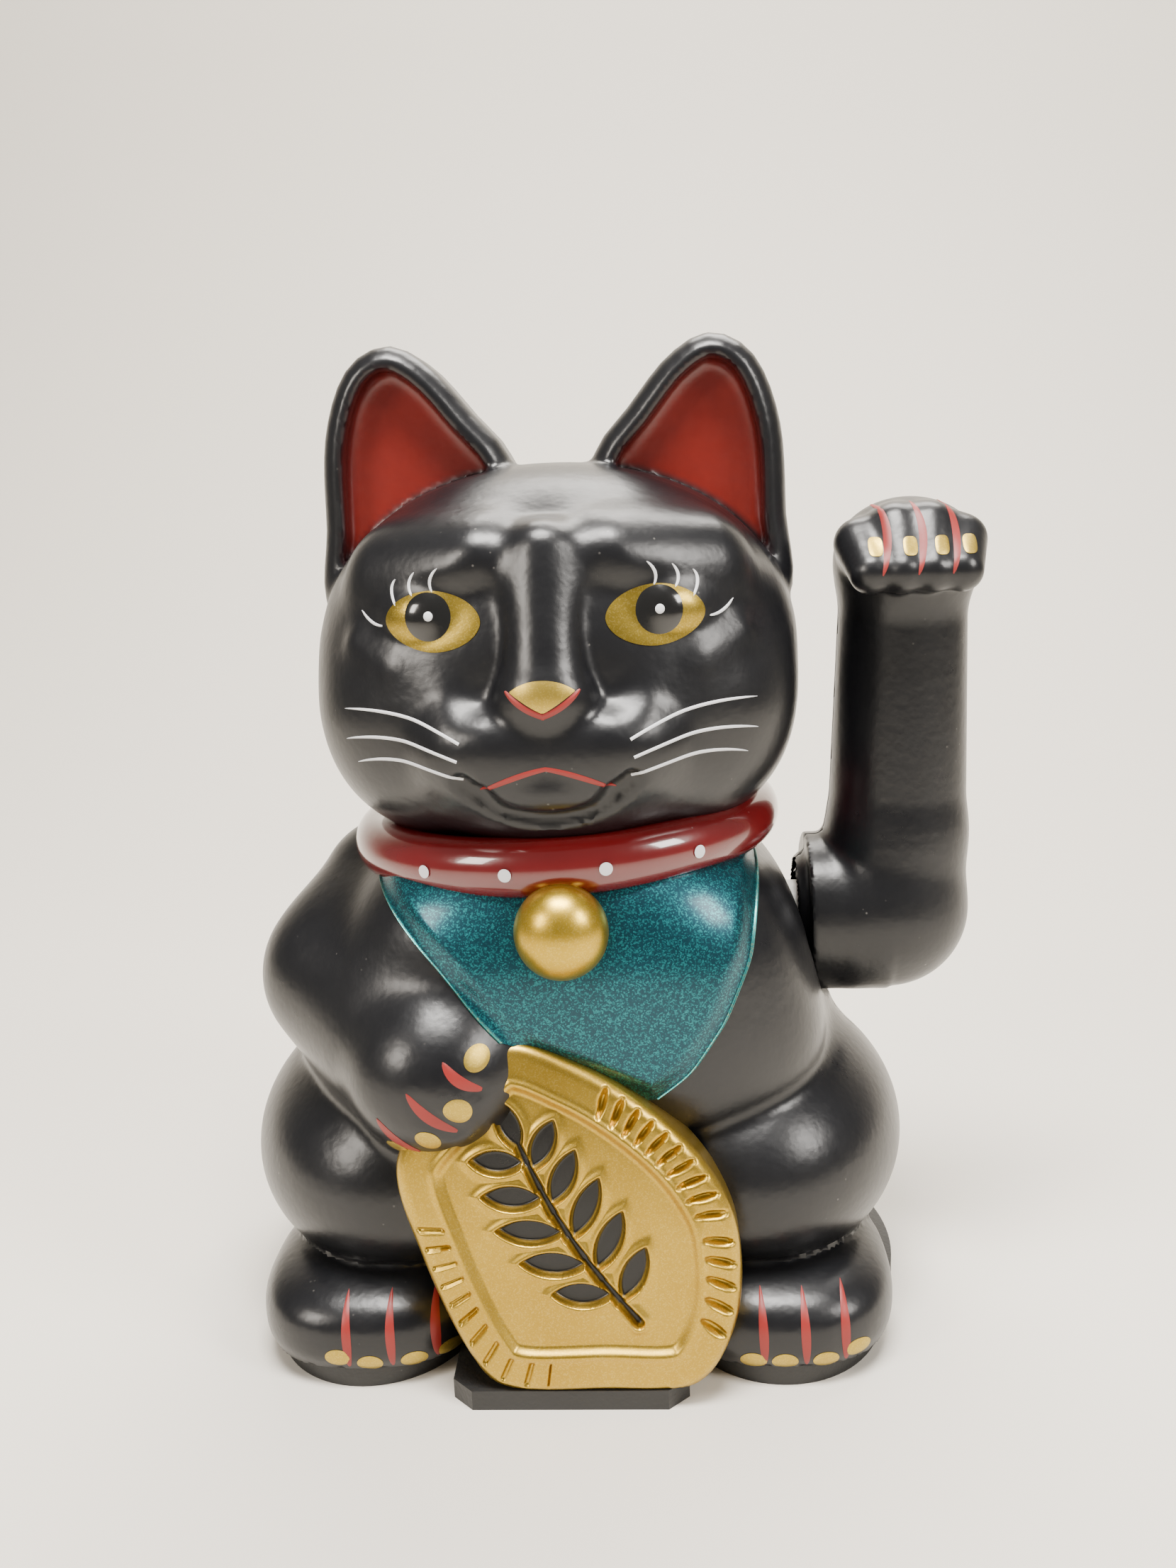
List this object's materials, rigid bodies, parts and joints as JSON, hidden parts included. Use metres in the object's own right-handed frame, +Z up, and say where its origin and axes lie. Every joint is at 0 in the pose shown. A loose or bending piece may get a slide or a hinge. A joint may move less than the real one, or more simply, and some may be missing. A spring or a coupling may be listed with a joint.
{
  "type": "beckoning cat figurine",
  "caption": "Seated beckoning cat in moulded plastic, holding an oval coin, with a raised arm that waves on a pendulum driven by a coil in the base.",
  "frame": {"origin": "middle of the flat underside of the base, straight below the middle of the head", "axes": "+Z up, the cat looks along -Y, the raised paw is on the +X side"},
  "size_m": [0.1176, 0.086, 0.1504],
  "materials": {
    "shell_black": "satin moulded plastic with soft highlights",
    "base_black": "matt moulded plastic",
    "gold_paint": "satin gold metallic paint",
    "red_paint": "high-gloss deep red paint",
    "teal_paint": "metallic flake teal paint",
    "white_paint": "off-white paint",
    "ink_black": "black ink in recesses",
    "bracket_white": "moulded nylon",
    "steel": "zinc-plated steel",
    "magnet_nickel": "nickel-plated",
    "copper_wire": "enamelled copper winding",
    "board_green": "solder-masked laminate",
    "chip_black": "epoxy package",
    "cell_wrap": "plain plastic-sleeved steel can",
    "resistor_tan": "lacquered",
    "wire_red": "PVC insulation",
    "wire_black": "PVC insulation"
  },
  "bodies": {
    "housing": {"front_shell": "shell_black", "rear_shell": "shell_black", "base_plate": "base_black", "battery_cell": "cell_wrap", "battery_spring": "steel", "battery_contact_front": "steel", "battery_contact_rear": "steel", "circuit_board": "board_green", "control_chip": "chip_black", "capacitor": "chip_black", "transistor": "chip_black", "resistor": "resistor_tan", "coil_bobbin": "bracket_white", "coil_winding": "copper_wire", "pivot_frame": "bracket_white", "bearing_bush_left": "bracket_white", "bearing_bush_right": "bracket_white", "base_screws": "steel", "board_screws": "steel", "frame_screws": "steel", "battery_lead_front": "wire_red", "battery_lead_rear": "wire_black", "coil_leads": "copper_wire"},
    "swing_arm": {"pivot_axle": "steel", "arm_hub": "bracket_white", "pendulum_lever": "bracket_white", "counterweight": "steel", "pendulum_magnet": "magnet_nickel", "arm_front_shell": "shell_black", "arm_rear_shell": "shell_black"},
    "battery_door": {"battery_door": "base_black"}
  },
  "joints": [
    {"name": "arm_swing", "type": "hinge", "parent": "housing", "child": "swing_arm", "pos_m": [0, 0.004, 0.0588], "axis": [1, 0, 0], "range_deg": [-20, 20]},
    {"name": "battery_door_hinge", "type": "hinge", "parent": "housing", "child": "battery_door", "pos_m": [-0.0165, -0.02325, 0.001], "axis": [-1, 0, 0], "range_deg": [0, 60]}
  ]
}
